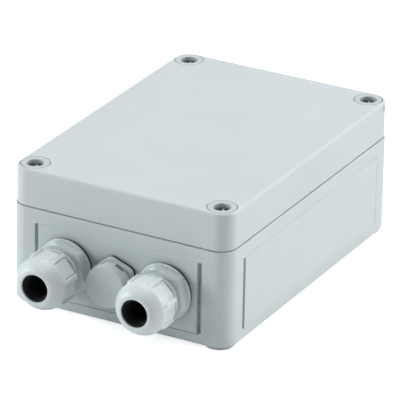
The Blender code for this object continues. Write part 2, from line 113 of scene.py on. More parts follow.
# Fittings in the front wall
FACE_Y = BASE_LOW.y
GLAND_X = middle("gland_dome_nut_right").x
GLAND_Z, VENT_Z = middle("gland_dome_nut_right").z, middle("vent_cap").z
GRIPS = 7
GRIP_AT = {"left": 63.7, "right": 70.0}
GRIP_RADIUS, GRIP_FLAT_RADIUS = 12.85, 12.65
RIB_HALF_ANGLE, RIB_PROUD = 4.5, 0.6
RIB_GROOVE_ANGLE, RIB_GROOVE_DEPTH = 8.5, 0.45
GRIP_INSIDE, GRIP_END, GRIP_FADE = 11.2, 23.4, 2.2
DOME_LOW = 24.2
STEPS_IN_GRIP = 40
GLAND_HEX_TURN, VENT_HEX_TURN = 14.0, 8.7
GLAND_THREAD, VENT_THREAD = 9.7, 5.9
FITTING_PITCH = 1.5
VENT_BORE = 3.2
VENT_SLITS, VENT_SLIT_AT = 6, -27.5

# Rail and terminals
RAIL_LOW, RAIL_HIGH = low_high("din_rail")
RAIL_Y = middle("din_rail").y
CLAMP_Y = 12.0
WIRE_Z = 30.6
CLAMP_PITCH = 0.5
YELLOW_FROM = CLAMP_Y + 4.2

# Camera, floor and light
AIM = (2.35, -7.95, 33.6)
VIEW_AZIMUTH, VIEW_ELEVATION, VIEW_ROLL = 28.34, 24.0, 1.004
VIEW_DISTANCE, LENS, FILM_WIDTH = 1913.2, 376.1, 36
FLOOR_HALF, FLOOR_GLOW = 6, 0.7
SURROUND_COLOUR, SURROUND_STRENGTH = (0.90, 0.98, 1.0, 1), 0.06
LIGHTS = (
    ("overhead softbox", (0.1, 0.5, 1.6), (1.6, 1.6), 23.8, (0.98, 0.99, 1.0)),
    ("front top softbox", (0.0, -0.5, 1.6), (1.2, 1.2), 5.5, (0.92, 1.0, 1.0)),
    ("right softbox", (1.3, 0.9, 0.6), (1.0, 1.2), 18, (0.95, 1.0, 0.97)),
    ("left front fill", (-1.3, -1.2, 0.6), (1.0, 0.8), 11.5, (0.90, 1.0, 1.0)),
    ("far left fill", (-1.7, -0.6, 0.5), (1.0, 0.8), 12, (0.90, 1.0, 1.0)),
)

# Earth terminal
EARTH_GREEN_COLOUR, EARTH_YELLOW_COLOUR = (0.05, 0.27, 0.07), (0.78, 0.60, 0.04)


# Shapes


def brick(low, high):
    low, high = Vector(low) * MM, Vector(high) * MM
    bm = bmesh.new()
    place = Matrix.Translation((low + high) / 2) @ Matrix.Diagonal((*(high - low), 1))
    bmesh.ops.create_cube(bm, size=1, matrix=place)
    return bm


def rod(radius, low, high, centre=(0, 0), sides=ROUND_STEPS):
    bm = bmesh.new()
    place = Matrix.Translation(Vector((*centre, (low + high) / 2)) * MM)
    bmesh.ops.create_cone(
        bm, cap_ends=True, segments=sides, radius1=radius * MM, radius2=radius * MM,
        depth=(high - low) * MM, matrix=place
    )
    return bm


def spun(profile, steps=ROUND_STEPS):
    """A profile of (radius, height) turned once about Z. It closes on itself away from the axis."""
    bm = bmesh.new()
    points = [bm.verts.new((radius * MM, 0, height * MM)) for radius, height in profile]
    edges = [bm.edges.new(pair) for pair in zip(points, points[1:])]
    if profile[0][0] > 0:
        edges.append(bm.edges.new((points[-1], points[0])))
    bmesh.ops.spin(
        bm, geom=points + edges, cent=(0, 0, 0), axis=(0, 0, 1), angle=math.tau, steps=steps,
        use_merge=True
    )
    bmesh.ops.remove_doubles(bm, verts=bm.verts, dist=WELD)
    bmesh.ops.recalc_face_normals(bm, faces=bm.faces)
    return bm


def flat_outline(points, low, high):
    """An outline of (x, y) drawn at the low height and extruded to the high one."""
    bm = bmesh.new()
    face = bm.faces.new([bm.verts.new((x * MM, y * MM, low * MM)) for x, y in points])
    raised = bmesh.ops.extrude_face_region(bm, geom=[face])["geom"]
    verts = [item for item in raised if isinstance(item, bmesh.types.BMVert)]
    bmesh.ops.translate(bm, verts=verts, vec=(0, 0, (high - low) * MM))
    bmesh.ops.recalc_face_normals(bm, faces=bm.faces)
    return bm


def bevel(bm, edges, width, segments=3):
    bmesh.ops.bevel(
        bm, geom=edges, offset=width * MM, segments=segments, profile=0.5, affect="EDGES",
        material=-1
    )
    return bm


def ease(bm, width=0.25, segments=2, sharper_than=35):
    """Rounds every edge that turns by more than the angle."""
    limit = math.radians(sharper_than)
    edges = [e for e in bm.edges if len(e.link_faces) == 2 and e.calc_face_angle() > limit]
    return bevel(bm, edges, width, segments)


def edges_at(bm, height):
    return [e for e in bm.edges if all(abs(v.co.z - height * MM) < SAME_PLACE for v in e.verts)]


def edges_along(bm, axis):
    return [
        e for e in bm.edges
        if abs((e.verts[0].co - e.verts[1].co).normalized()[axis]) > SAME_DIRECTION
    ]


def rounded_block(half_x, half_y, radius, low, high):
    bm = brick((-half_x, -half_y, low), (half_x, half_y, high))
    return bevel(bm, edges_along(bm, 2), radius, 16)


def moved(bm, matrix):
    bmesh.ops.transform(bm, matrix=matrix, verts=bm.verts)
    return bm


def at(bm, x, y, z=0.0):
    return moved(bm, Matrix.Translation(Vector((x, y, z)) * MM))


def turned_about_z(bm, degrees):
    return moved(bm, Matrix.Rotation(math.radians(degrees), 4, "Z"))


def in_front_wall(bm, x):
    """Turns a shape to point out of the front wall, at the place of the fitting at x."""
    place = Matrix.Translation(Vector((x, FACE_Y, GLAND_Z if x else VENT_Z)) * MM)
    return moved(bm, place @ Matrix.Rotation(math.radians(90), 4, "X"))


def raw(bm, name="tool"):
    mesh = bpy.data.meshes.new(name)
    bm.to_mesh(mesh)
    bm.free()
    made = bpy.data.objects.new(name, mesh)
    bpy.context.scene.collection.objects.link(made)
    return made


def carve(piece, bm, operation="DIFFERENCE"):
    """Cuts or joins a closed shape, and keeps only the result."""
    tool = raw(bm)
    cut = piece.modifiers.new("cut", "BOOLEAN")
    cut.operation = operation
    cut.object = tool
    graph = bpy.context.evaluated_depsgraph_get()
    result = bpy.data.meshes.new_from_object(piece.evaluated_get(graph))
    piece.modifiers.clear()
    old, piece.data = piece.data, result
    result.name = piece.name
    bpy.data.meshes.remove(old)
    bpy.data.meshes.remove(tool.data)
    return piece


def lifted(piece):
    """The piece's mesh as a bmesh again. The piece itself goes."""
    bm = bmesh.new()
    bm.from_mesh(piece.data)
    bpy.data.meshes.remove(piece.data)
    return bm


def dress(piece, finish, node, *others):
    """The piece stands for its nodes: it rides on their body and takes their finish."""
    mesh = piece.data
    mesh.materials.clear()
    mesh.materials.append(finish)
    mesh.shade_smooth()
    mesh.set_sharp_from_angle(angle=math.radians(SHARP_ANGLE))
    flat = piece.modifiers.new("flat faces", "WEIGHTED_NORMAL")
    flat.keep_sharp = True
    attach(piece, frame["nodes"][node]["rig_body"])
    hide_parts(node, *others)
    return piece


# Finishes


def node_group(name, inputs, outputs):
    """An empty shader group with these sockets, and its inner ends."""
    tree = bpy.data.node_groups.new(name, "ShaderNodeTree")
    for label, value in inputs:
        kind = "NodeSocketColor" if isinstance(value, tuple) else "NodeSocketFloat"
        socket = tree.interface.new_socket(label, in_out="INPUT", socket_type=kind)
        socket.default_value = value
    for label, kind in outputs:
        tree.interface.new_socket(label, in_out="OUTPUT", socket_type=kind)
    return tree, tree.nodes.new("NodeGroupInput"), tree.nodes.new("NodeGroupOutput")


def add(tree, kind, **settings):
    made = tree.nodes.new(kind)
    for label, value in settings.items():
        setattr(made, label, value)
    return made


def noise(tree, coordinates, scale, detail=2.0):
    made = add(tree, "ShaderNodeTexNoise")
    made.inputs["Detail"].default_value = detail
    if isinstance(scale, (int, float)):
        made.inputs["Scale"].default_value = scale
    else:
        tree.links.new(scale, made.inputs["Scale"])
    tree.links.new(coordinates, made.inputs["Vector"])
    return made.outputs["Fac"]


def spread(tree, value, low, high, span=(0.3, 0.7)):
    """The value's middle span stretched to run from low to high."""
    made = add(tree, "ShaderNodeMapRange")
    tree.links.new(value, made.inputs["Value"])
    made.inputs["From Min"].default_value = span[0]
    made.inputs["From Max"].default_value = span[1]
    for label, end in (("To Min", low), ("To Max", high)):
        if isinstance(end, (int, float)):
            made.inputs[label].default_value = end
        else:
            tree.links.new(end, made.inputs[label])
    return made.outputs["Result"]


def calculate(tree, operation, first, second):
    made = add(tree, "ShaderNodeMath", operation=operation)
    for socket, value in zip(made.inputs, (first, second)):
        if isinstance(value, (int, float)):
            socket.default_value = value
        else:
            tree.links.new(value, socket)
    return made.outputs["Value"]


def blend(tree, mask, first, second, mode="MIX"):
    made = add(tree, "ShaderNodeMix", data_type="RGBA", blend_type=mode)
    for index, value in ((0, mask), (6, first), (7, second)):
        if isinstance(value, (int, float, tuple)):
            made.inputs[index].default_value = value
        else:
            tree.links.new(value, made.inputs[index])
    return made.outputs[2]


def bump(tree, height, strength, distance):
    made = add(tree, "ShaderNodeBump")
    made.inputs["Distance"].default_value = distance
    tree.links.new(height, made.inputs["Height"])
    tree.links.new(strength, made.inputs["Strength"])
    return made.outputs["Normal"]


def moulded_surface():
    """Fine spark-eroded grain, a little uneven in tone and gloss, as an injection moulding has."""
    tree, given, result = node_group(
        "moulded surface",
        [("Colour", (0.6, 0.6, 0.6, 1)), ("Grain Scale", 3500.0), ("Grain Depth", 0.2),
         ("Mottle", 0.04), ("Gloss Low", 0.4), ("Gloss High", 0.5)],
        [("Colour", "NodeSocketColor"), ("Roughness", "NodeSocketFloat"),
         ("Normal", "NodeSocketVector")],
    )
    coordinates = add(tree, "ShaderNodeTexCoord").outputs["Object"]
    flow = noise(tree, coordinates, 28.0, 3.0)
    grain = noise(tree, coordinates, given.outputs["Grain Scale"], 2.0)
    darker = calculate(tree, "SUBTRACT", 1.0, given.outputs["Mottle"])
    shade = spread(tree, flow, darker, 1.0)
    speck = spread(tree, grain, darker, 1.0)
    tone = calculate(tree, "MULTIPLY", shade, speck)
    grey = add(tree, "ShaderNodeCombineColor")
    for channel in ("Red", "Green", "Blue"):
        tree.links.new(tone, grey.inputs[channel])
    colour = blend(tree, 1.0, given.outputs["Colour"], grey.outputs["Color"], "MULTIPLY")
    tree.links.new(colour, result.inputs["Colour"])
    polish = noise(tree, coordinates, 90.0, 4.0)
    gloss = spread(tree, polish, given.outputs["Gloss Low"], given.outputs["Gloss High"])
    tree.links.new(gloss, result.inputs["Roughness"])
    tree.links.new(
        bump(tree, grain, given.outputs["Grain Depth"], 0.00006), result.inputs["Normal"]
    )
    return tree


def plated_surface():
    """Drawn metal under a thin plating: streaks along X and small blooms in tone and gloss."""
    tree, given, result = node_group(
        "plated surface",
        [("Colour", (0.6, 0.6, 0.6, 1)), ("Bloom", (0.5, 0.5, 0.5, 1)), ("Streak Depth", 0.1),
         ("Gloss Low", 0.25), ("Gloss High", 0.45)],
        [("Colour", "NodeSocketColor"), ("Roughness", "NodeSocketFloat"),
         ("Normal", "NodeSocketVector")],
    )
    coordinates = add(tree, "ShaderNodeTexCoord").outputs["Object"]
    stretch = add(tree, "ShaderNodeMapping")
    stretch.inputs["Scale"].default_value = (0.04, 1.0, 1.0)
    tree.links.new(coordinates, stretch.inputs["Vector"])
    streaks = noise(tree, stretch.outputs["Vector"], 2600.0, 3.0)
    blooms = noise(tree, coordinates, 260.0, 4.0)
    mask = spread(tree, blooms, 0.0, 0.6, (0.5, 0.75))
    colour = blend(tree, mask, given.outputs["Colour"], given.outputs["Bloom"])
    tree.links.new(colour, result.inputs["Colour"])
    gloss = spread(tree, blooms, given.outputs["Gloss Low"], given.outputs["Gloss High"])
    tree.links.new(gloss, result.inputs["Roughness"])
    tree.links.new(
        bump(tree, streaks, given.outputs["Streak Depth"], 0.00004), result.inputs["Normal"]
    )
    return tree


def material(name, group, values, **shader_values):
    """A Principled material whose colour, gloss and surface come from a shared group."""
    made = bpy.data.materials.new(name)
    made.use_nodes = True
    tree = made.node_tree
    shader = tree.nodes["Principled BSDF"]
    effect = add(tree, "ShaderNodeGroup", node_tree=group)
    for label, value in values.items():
        effect.inputs[label].default_value = value
    for label, target in (
        ("Colour", "Base Color"), ("Roughness", "Roughness"), ("Normal", "Normal"),
    ):
        tree.links.new(effect.outputs[label], shader.inputs[target])
    for label, value in shader_values.items():
        shader.inputs[label.replace("_", " ")].default_value = value
    return made


def plastic(name, colour, gloss, grain=(3500.0, 0.2), mottle=0.04):
    return material(name, MOULDED, {
        "Colour": (*colour, 1), "Grain Scale": grain[0], "Grain Depth": grain[1],
        "Mottle": mottle, "Gloss Low": gloss[0], "Gloss High": gloss[1],
    })


def metal(name, colour, bloom, gloss):
    return material(name, PLATED, {
        "Colour": (*colour, 1), "Bloom": (*bloom, 1), "Streak Depth": 0.12,
        "Gloss Low": gloss[0], "Gloss High": gloss[1],
    }, Metallic=1.0)


def earth_plastic():
    """Green plastic with yellow ends, the colours of an earth terminal."""
    made = plastic("earth green and yellow", EARTH_GREEN_COLOUR, (0.4, 0.52))
    tree = made.node_tree
    effect = next(node for node in tree.nodes if node.type == "GROUP")
    place = add(tree, "ShaderNodeSeparateXYZ")
    coordinates = add(tree, "ShaderNodeTexCoord").outputs["Object"]
    tree.links.new(coordinates, place.inputs["Vector"])
    from_middle = calculate(tree, "SUBTRACT", place.outputs["Y"], RAIL_Y * MM)
    reach = calculate(tree, "ABSOLUTE", from_middle, 0.0)
    mask = calculate(tree, "GREATER_THAN", reach, YELLOW_FROM * MM)
    colour = blend(tree, mask, (*EARTH_GREEN_COLOUR, 1), (*EARTH_YELLOW_COLOUR, 1))
    tree.links.new(colour, effect.inputs["Colour"])
    return made


# Enclosure


def corner_places():
    return [(corner.x, corner.y) for corner in CORNERS]


def sealing_block(offset, low, high):
    """The space inside the walls, moved outward by offset. It leaves the four screw towers."""
    half_x, half_y = HALF_X - WALL + offset, HALF_Y - WALL + offset
    block = raw(brick((-half_x, -half_y, low), (half_x, half_y, high)))
    for x, y in corner_places():
        carve(block, rod(TOWER_RADIUS - offset, low - 1, high + 1, (x, y)))
        outer_x, outer_y = math.copysign(BEYOND, x), math.copysign(BEYOND, y)
        near, far = (min(x, outer_x), min(y, outer_y)), (max(x, outer_x), max(y, outer_y))
        carve(block, brick((*near, low - 2), (*far, high + 2)))
    return lifted(block)


def sealing_ring(inner, outer, low, high):
    ring = raw(sealing_block(outer, low, high))
    carve(ring, sealing_block(inner, low - 1, high + 1))
    return lifted(ring)


def make_base():
    outer = rounded_block(HALF_X, HALF_Y, CORNER_RADIUS, 0, SEAM)
    bevel(outer, edges_at(outer, 0), 1.0, 4)
    bevel(outer, edges_at(outer, SEAM), 0.35, 3)
    base = raw(outer, "base_moulding")
    cavity = sealing_block(0, WALL, SEAM + 5)
    bevel(cavity, edges_at(cavity, WALL), 1.2, 4)
    carve(base, cavity)
    carve(base, sealing_ring(0, 1.2, SEAM - 2, SEAM + TONGUE_HEIGHT), "UNION")
    for x, y in corner_places():
        foot = spun([(0, FOOT_LOW), (6.9, FOOT_LOW), (7.3, FOOT_LOW + 0.4), (7.3, 1.5), (0, 1.5)])
        carve(base, at(foot, x, y), "UNION")
        bore = spun([
            (0, 4.0), (TOWER_BORE, 4.0), (TOWER_BORE, SEAM - 0.5), (TOWER_BORE + 0.6, SEAM + 0.1),
            (TOWER_BORE + 0.6, SEAM + 3), (0, SEAM + 3),
        ])
        carve(base, at(bore, x, y))
        fixing = spun([(0, -3), (2.25, -3), (2.25, 3.4), (3.1, 4.3), (3.1, 5), (0, 5)])
        carve(base, at(fixing, x, y))
    add_panels(base)
    for side in (-1, 1):
        place = (side * RAIL_SCREW_X, RAIL_Y)
        boss = spun([(0, 2), (5.2, 2), (5.2, 3.0), (4.6, 3.8), (4.5, 7.6), (4.2, 8.0), (0, 8.0)])
        carve(base, at(boss, *place), "UNION")
        carve(base, rod(2.0, 3.8, 9, place, 32))
    for x, radius in ((-GLAND_X, 10.2), (0, 6.2), (GLAND_X, 10.2)):
        carve(base, in_front_wall(rod(radius, -8, 8), x))
    return dress(base, SHELL, "base")


def add_panels(base):
    """Thin raised panels between upright grooves on all four walls, with a fine line under
    those of the two end walls."""
    for turn, reach, half, width in (
        (0, HALF_Y, END_GROOVE, END_GROOVE_WIDTH), (180, HALF_Y, END_GROOVE, END_GROOVE_WIDTH),
        (90, HALF_X, LONG_GROOVE, LONG_GROOVE_WIDTH), (270, HALF_X, LONG_GROOVE, LONG_GROOVE_WIDTH),
    ):
        inner = half - width / 2
        panel = brick((-inner, -reach - PANEL_PROUD, PANEL_LOW), (inner, 1 - reach, PANEL_HIGH))
        top = [e for e in edges_at(panel, PANEL_HIGH) if all(v.co.y < -reach * MM for v in e.verts)]
        bevel(panel, top, PANEL_PROUD - 0.02, 2)
        carve(base, turned_about_z(panel, turn), "UNION")
        if reach == HALF_Y:
            low = (-half, -reach - 2, PANEL_LOW - LINE_HEIGHT)
            high = (half, LINE_DEPTH - reach, PANEL_LOW + 0.05)
            line = brick(low, high)
            carve(base, turned_about_z(line, turn))
        for end in (-1, 1):
            low = (end * half - width / 2, -reach - 2, PANEL_LOW)
            high = (end * half + width / 2, GROOVE_DEPTH - reach, PANEL_HIGH)
            groove = brick(low, high)
            bevel(groove, edges_along(groove, 1), 0.499 * width, 6)
            carve(base, turned_about_z(groove, turn))


def make_lid():
    half_x, half_y = HALF_X - LID_INSET, HALF_Y - LID_INSET
    outer = rounded_block(half_x, half_y, CORNER_RADIUS - LID_INSET, LID_UNDER, LID_TOP)
    bevel(outer, edges_at(outer, LID_TOP), LID_EDGE, 6)
    bevel(outer, edges_at(outer, LID_UNDER), 0.3, 3)
    lid = raw(outer, "lid_moulding")
    carve(lid, sealing_block(-1.8, LID_UNDER - 5, LID_TOP - WALL))
    carve(lid, sealing_ring(-0.3, 1.5, LID_UNDER - 5, SEAM + 5.5))
    for x, y in corner_places():
        head = spun([
            (0, 54), (6.9, 54), (6.9, LID_TOP - 0.15), (7.1, LID_TOP + 0.01), (7.1, LID_TOP + 2),
            (0, LID_TOP + 2),
        ])
        carve(lid, at(head, x, y))
        carve(lid, rod(TOWER_BORE, LID_UNDER - 5, 58, (x, y)))
        carve(lid, rod(6.0, LID_UNDER - 5, 49.0, (x, y)))
    for side in (-1, 1):
        slot = brick((half_x - 1.0, 71.6, 59.9), (half_x + 1, 72.9, 62.8))
        carve(lid, turned_about_z(slot, 0 if side > 0 else 180))
    gate = spun([
        (0, LID_TOP - 0.12), (1.6, LID_TOP - 0.1), (2.6, LID_TOP - 0.02), (3.0, LID_TOP + 0.05),
        (3.0, LID_TOP + 1), (0, LID_TOP + 1),
    ])
    carve(lid, gate)
    return dress(lid, SHELL, "lid")


def make_lid_gasket():
    low, high = low_high("lid_gasket")
    ring = raw(sealing_ring(0.05, 1.15, low.z, high.z), "lid_gasket_cord")
    dress(ring, RUBBER, "lid_gasket")


def make_lid_screw(number, x, y):
    top = LID_TOP
    head = spun([
        (0, 57.3), (5.5, 57.3), (5.5, top - 2.9), (4.0, top - 2.2), (4.0, top - 0.5),
        (4.3, top - 0.08), (4.45, top), (6.35, top), (6.55, top - 0.1), (6.6, top - 0.3),
        (6.6, SCREW_HEAD_UNDER + 0.3), (6.3, SCREW_HEAD_UNDER), (3.3, SCREW_HEAD_UNDER),
        (3.0, 55.7), (3.0, 34.9), (2.6, 34.5), (0, 34.5),
    ])
    screw = raw(head, f"captive_screw_{number}")
    add_thread(screw, 2.9, 3.9, 35.3, 41.0, SCREW_PITCH)
    for turn in (RIB_TURN, RIB_TURN + 90):
        rib = brick((-5.7, -0.45, 56.8), (5.7, 0.45, top - 2.7))
        carve(screw, turned_about_z(rib, turn), "UNION")
    moved_mesh(screw, x, y)
    dress(screw, SCREW_GREY, f"lid_screw_{number}")
    seal = ease(spun([(6.2, 55.7), (6.2, 54.3), (3.4, 54.3), (3.4, 55.7)], 64), 0.3, 3)
    dress(raw(at(seal, x, y), f"screw_ring_{number}"), RUBBER, f"screw_seal_{number}")
    keeper = ease(spun([(5.6, 48.6), (5.6, 47.4), (3.3, 47.4), (3.3, 48.6)], 64), 0.2)
    dress(raw(at(keeper, x, y), f"keeper_ring_{number}"), NATURAL, f"screw_retainer_{number}")


def moved_mesh(piece, x, y):
    piece.data.transform(Matrix.Translation(Vector((x, y, 0)) * MM))


def add_thread(piece, root, crest, low, high, pitch):
    """A helical ridge about Z, joined to the piece."""
    turns = (high - low) / pitch
    steps = round(turns * SMALL_STEPS)
    bm = bmesh.new()
    half = pitch * 0.36
    outline = [(root - 0.3, low - half), (crest, low - pitch * 0.08), (crest, low + pitch * 0.08),
               (root - 0.3, low + half)]
    face = bm.faces.new([bm.verts.new((radius * MM, 0, height * MM)) for radius, height in outline])
    bmesh.ops.spin(
        bm, geom=[face, *face.edges, *face.verts], cent=(0, 0, 0), axis=(0, 0, 1),
        dvec=(0, 0, (high - low) * MM / steps), angle=math.tau * turns, steps=steps
    )
    bmesh.ops.recalc_face_normals(bm, faces=bm.faces)
    carve(piece, bm, "UNION")


# Fittings


def hexagon(across_flats, low, high, turned_by=0.0):
    """A hexagon with chamfered corners. Its flats face left and right before it is turned."""
    corner = across_flats / math.sqrt(3)
    block = raw(turned_about_z(rod(corner, low, high, sides=6), turned_by))
    round_off = spun([
        (0, high + 0.01), (corner - 1.3, high + 0.01), (corner - 0.35, high - 0.7),
        (corner - 0.35, low + 0.3), (corner - 0.6, low - 0.01), (0, low - 0.01),
    ])
    carve(block, round_off, "INTERSECT")
    return lifted(block)


def front_piece(piece, x):
    """A carved fitting turned into its place in the front wall."""
    name = piece.name
    bm = in_front_wall(lifted(piece), x)
    return raw(bm, name)


def make_gland(side, x):
    body = raw(spun([
        (8.4, 21.0), (9.4, 21.0), (9.6, 20.8), (9.6, 11.1), (11.2, 11.1), (11.4, 10.9),
        (11.4, 10.3), (11.2, 10.1), (9.6, 10.1), (9.6, 2.8), (13.1, 2.8), (13.4, 2.5), (13.4, 1.9),
        (13.1, 1.6), (GLAND_THREAD, 1.6), (GLAND_THREAD, -10.4), (9.0, -11.2), (7.2, -11.2),
        (7.0, -11.0), (7.0, 10.0), (8.2, 10.0), (8.2, 20.8),
    ]), f"gland_stem_{side}")
    carve(body, hexagon(23.6, 2.6, 7.4, GLAND_HEX_TURN), "UNION")
    add_thread(body, 9.6, 9.95, -9.6, -3.9, FITTING_PITCH)
    dress(front_piece(body, x), GLAND_GREY, f"gland_body_{side}")
    nut = raw(in_front_wall(dome_nut(GRIP_AT[side]), x), f"dome_nut_{side}")
    dress(nut, GLAND_GREY, f"gland_dome_nut_{side}")
    insert = ease(spun([
        (6.3, 28.3), (6.4, 27.7), (7.6, 27.0), (7.9, 26.4), (7.9, 10.4), (5.3, 10.4), (5.3, 22.0),
        (5.6, 26.0), (6.0, 28.3),
    ]), 0.2)
    dress(raw(in_front_wall(insert, x), f"grip_sleeve_{side}"), RUBBER, f"gland_seal_insert_{side}")
    washer = ease(spun([(12.9, 1.5), (12.9, 0.1), (10.2, 0.1), (10.2, 1.5)]), 0.2)
    dress(raw(in_front_wall(washer, x), f"flat_washer_{side}"), RUBBER, f"gland_washer_{side}")
    make_locknut(
        f"gland_locknut_{side}", f"thread_nut_{side}", 25.4, 10.2, -8.6, -3.6, x, GLAND_GREY
    )


def dome_nut(rib_at):
    """A smooth dome in front of a ribbed grip."""
    dome = [(7.4, 29.0), (8.2, 28.85), (9.1, 28.35), (10.0, 27.3), (11.1, 26.0), (11.95, 24.5)]
    shoulder = [
        (12.15, 24.0), (12.35, 23.4), (12.5, 22.8), (12.6, 22.2), (12.7, 21.6), (12.75, 21.0),
        (12.8, 20.2), (12.82, 19.2),
    ]
    grip = [(GRIP_RADIUS, height) for height in (18.0, 16.5, 15.0, 14.2, 13.8)] + [(12.4, 13.3)]
    inside = [
        (10.0, 13.3), (10.0, 21.8), (8.2, 24.0), (8.2, 27.4), (6.7, 28.0), (6.6, 28.8), (6.75, 29.0),
    ]
    bm = spun(dome + shoulder + grip + inside, GRIPS * STEPS_IN_GRIP)
    for vert in bm.verts:
        radius = math.hypot(vert.co.x, vert.co.y) / MM
        height = vert.co.z / MM
        if radius > GRIP_INSIDE and height < DOME_LOW:
            angle = math.degrees(math.atan2(vert.co.y, vert.co.x)) - rib_at
            shift = grip_shape(angle) * fading(height) / radius
            vert.co.x *= 1 + shift
            vert.co.y *= 1 + shift
    bmesh.ops.recalc_face_normals(bm, faces=bm.faces)
    return bm


def grip_shape(angle):
    """How far the grip stands out: a narrow rib between two grooves, then a flat."""
    pitch = 360 / GRIPS
    away = abs((angle + pitch / 2) % pitch - pitch / 2)
    if away < RIB_HALF_ANGLE:
        return RIB_PROUD
    if away < RIB_GROOVE_ANGLE:
        return -RIB_GROOVE_DEPTH
    flat = GRIP_FLAT_RADIUS * math.cos(math.radians(pitch / 2 - RIB_GROOVE_ANGLE))
    return flat / math.cos(math.radians(pitch / 2 - away)) - GRIP_RADIUS


def fading(height):
    """1 along the grip and 0 where the dome begins."""
    part = min(max((GRIP_END - height) / GRIP_FADE, 0.0), 1.0)
    return part * part * (3 - 2 * part)


def make_locknut(node, name, across_flats, bore, low, high, x, finish):
    nut = raw(hexagon(across_flats, low, high), name)
    carve(nut, rod(bore, low - 1, high + 1))
    dress(front_piece(nut, x), finish, node)


def soft_hexagon(across_flats, low, high):
    """A hexagon with well rounded corners, turned as the vent is."""
    block = rod(across_flats / math.sqrt(3), low, high, sides=6)
    bevel(block, edges_along(block, 2), 1.8, 8)
    return turned_about_z(block, VENT_HEX_TURN)


def make_vent():
    body = raw(spun([
        (VENT_BORE, 7.0), (5.6, 7.0), (5.6, 3.0), (VENT_THREAD, 3.0), (VENT_THREAD, -8.6),
        (5.2, -9.3), (VENT_BORE, -9.3),
    ], 64), "vent_stem")
    flange = soft_hexagon(20.8, 1.5, 4.1)
    bevel(flange, edges_at(flange, 4.1), 0.4, 3)
    carve(body, flange, "UNION")
    carve(body, rod(VENT_BORE, -10, 8, sides=64))
    add_thread(body, 5.8, 6.15, -8.0, -3.9, FITTING_PITCH)
    dress(front_piece(body, 0), VENT_GREY, "vent_body")
    cap = raw(spun([
        (0, 10.7), (9.3, 10.7), (9.75, 10.55), (10.0, 10.1), (10.0, 4.5), (9.8, 4.25), (8.6, 4.25),
        (8.6, 9.4), (0, 9.4),
    ]), "vent_cover")
    for number in range(VENT_SLITS):
        slit = brick((-2.2, 7.0, 4.6), (2.2, 12.0, 6.2))
        carve(cap, turned_about_z(slit, 360 / VENT_SLITS * number + VENT_SLIT_AT))
    dress(front_piece(cap, 0), VENT_GREY, "vent_cap")
    gasket = raw(soft_hexagon(20.6, 0.1, 1.4), "vent_ring")
    carve(gasket, rod(6.3, -1, 3, sides=64))
    dress(front_piece(gasket, 0), RUBBER, "vent_gasket")
    film = spun([(0, 7.6), (5.2, 7.6), (5.2, 7.3), (0, 7.3)], SMALL_STEPS)
    dress(raw(in_front_wall(film, 0), "vent_film"), NATURAL, "vent_membrane")
    make_locknut("vent_locknut", "vent_nut", 17.0, 6.2, -7.6, -3.6, 0, VENT_GREY)


# Rail and terminals


def along_rail(outline, low, high):
    """An outline of (y, z), y from the rail's middle, extruded between two places along X."""
    bm = flat_outline(outline, low, high)
    axes = Matrix(((0, 0, 1, 0), (1, 0, 0, 0), (0, 1, 0, 0), (0, 0, 0, 1)))
    moved(bm, Matrix.Translation(Vector((0, RAIL_Y, 0)) * MM) @ axes)
    return bm


def mirrored_outline(half):
    return half + [(-y, z) for y, z in reversed(half)]


def make_rail():
    bottom, top = RAIL_LOW.z, RAIL_HIGH.z
    outline = mirrored_outline([
        (12.5, bottom + 1), (12.5, top), (17.5, top), (17.5, top - 1), (13.5, top - 1),
        (13.5, bottom),
    ])
    bm = along_rail(outline, RAIL_LOW.x, RAIL_HIGH.x)
    bends = [
        e for e in edges_along(bm, 0)
        if abs(abs(e.verts[0].co.y / MM - RAIL_Y) - 13.0) < 0.6
    ]
    bevel(bm, bends, 0.45, 4)
    rail = raw(ease(bm, 0.12, 2), "mounting_rail")
    for side in (-1, 1):
        place = (side * RAIL_SCREW_X, RAIL_Y)
        carve(rail, rod(2.2, bottom - 2, bottom + 3, place, SMALL_STEPS))
    dress(rail, STEEL, "din_rail")
    for number in (1, 2):
        make_rail_screw(number)


def make_rail_screw(number):
    node = f"rail_screw_{number}"
    centre = middle(node)
    low, high = low_high(node)
    head = high.z - 2.2
    screw = raw(spun([
        (0, high.z), (1.9, high.z - 0.1), (2.9, high.z - 0.6), (3.5, head + 0.7), (3.6, head + 0.2),
        (3.5, head), (1.6, head), (1.6, low.z + 0.6), (0, low.z),
    ], SMALL_STEPS), f"pan_screw_{number}")
    carve(screw, brick((-4, -0.4, high.z - 1.0), (4, 0.4, high.z + 1)))
    moved_mesh(screw, centre.x, centre.y)
    dress(screw, STEEL, node)


def terminal_outline():
    """A housing whose feet hook under the rail's two edges."""
    seat = RAIL_HIGH.z + 0.3
    return mirrored_outline([
        (17.9, seat), (17.9, 14.4), (15.4, 14.4), (15.4, 12.4), (19.6, 12.4), (21.0, 14.0),
        (21.0, 36.0), (17.4, 41.5), (17.4, 46.0), (15.4, 50.0), (7.6, 50.0), (6.0, 46.5),
    ])


